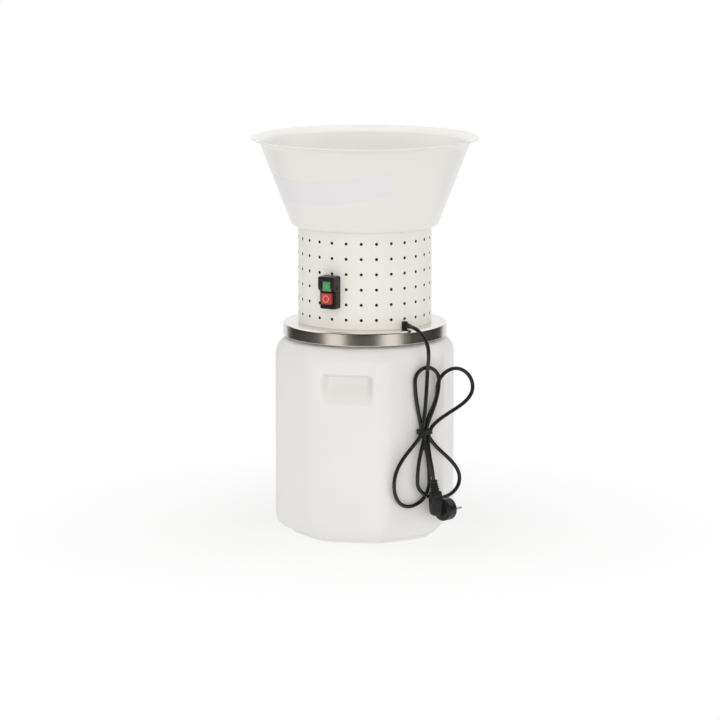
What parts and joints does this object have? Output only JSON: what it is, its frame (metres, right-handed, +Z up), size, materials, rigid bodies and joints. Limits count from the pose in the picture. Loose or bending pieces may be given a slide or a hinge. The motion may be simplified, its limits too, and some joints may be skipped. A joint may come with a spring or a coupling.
{
  "type": "electric grain mill",
  "caption": "Electric grain mill with a white hopper and perforated motor drum on a steel lid over an eight-sided bucket.",
  "frame": {"origin": "on the floor under the middle of the bucket", "axes": "+Z up, -Y through the hand grip that faces the viewer, +X to the right"},
  "size_m": [0.3864, 0.3838, 0.67],
  "materials": {
    "white_plastic": "satin",
    "white_paint": "satin",
    "stainless": "brushed",
    "steel": "plain",
    "cast_alloy": "cast",
    "core_iron": "plain",
    "copper": "enamelled",
    "carbon": "matt",
    "black_plastic": "satin",
    "green_plastic": "satin",
    "red_plastic": "satin",
    "black_rubber": "satin",
    "grey_rubber": "matt",
    "nickel": "plain"
  },
  "bodies": {
    "bucket": {"bucket": "white_plastic"},
    "mill_head": {"hopper": "white_plastic", "drum": "white_paint", "lid": "stainless", "feed_ramp": "stainless", "feed_chute": "stainless", "sieve": "stainless", "seam_rivets": "steel", "gate_pin": "steel", "tie_rods": "steel", "rod_nuts": "steel", "bridge_screws": "steel", "lower_bearing": "steel", "upper_bearing": "steel", "motor_screws": "steel", "sieve_studs": "steel", "wing_nuts": "steel", "motor_housing": "cast_alloy", "bearing_bridge": "cast_alloy", "stator_core": "core_iron", "field_coils": "copper", "brushes": "carbon", "switch_housing": "black_plastic", "brush_holders": "black_plastic", "cord_gland": "black_rubber", "cord": "black_rubber", "cord_tie": "black_rubber", "plug_body": "black_rubber", "lid_seal": "grey_rubber", "plug_pins": "nickel"},
    "rotor": {"motor_shaft": "steel", "armature_core": "core_iron", "armature_windings": "copper", "commutator": "copper", "cooling_fan": "black_plastic", "blade": "stainless", "blade_nut": "steel"},
    "feed_gate": {"feed_gate": "red_plastic"},
    "start_button": {"start_button": "green_plastic"},
    "stop_button": {"stop_button": "red_plastic"}
  },
  "joints": [
    {"name": "head_lift", "type": "slide", "parent": "bucket", "child": "mill_head", "axis": [0, 0, 1], "range_m": [0, 0.1]},
    {"name": "rotor_spin", "type": "hinge", "parent": "mill_head", "child": "rotor", "pos_m": [0, 0, 0.42], "axis": [0, 0, 1], "continuous": true},
    {"name": "gate_swing", "type": "hinge", "parent": "mill_head", "child": "feed_gate", "pos_m": [0.042, 0.076, 0.53954], "axis": [0, 0.2419, 0.9703], "range_deg": [0, 70]},
    {"name": "start_press", "type": "slide", "parent": "mill_head", "child": "start_button", "axis": [0.2907, 0.9568, 0], "range_m": [0, 0.003], "stiffness_N_per_m": 300},
    {"name": "stop_press", "type": "slide", "parent": "mill_head", "child": "stop_button", "axis": [0.2907, 0.9568, 0], "range_m": [0, 0.004], "stiffness_N_per_m": 300}
  ]
}
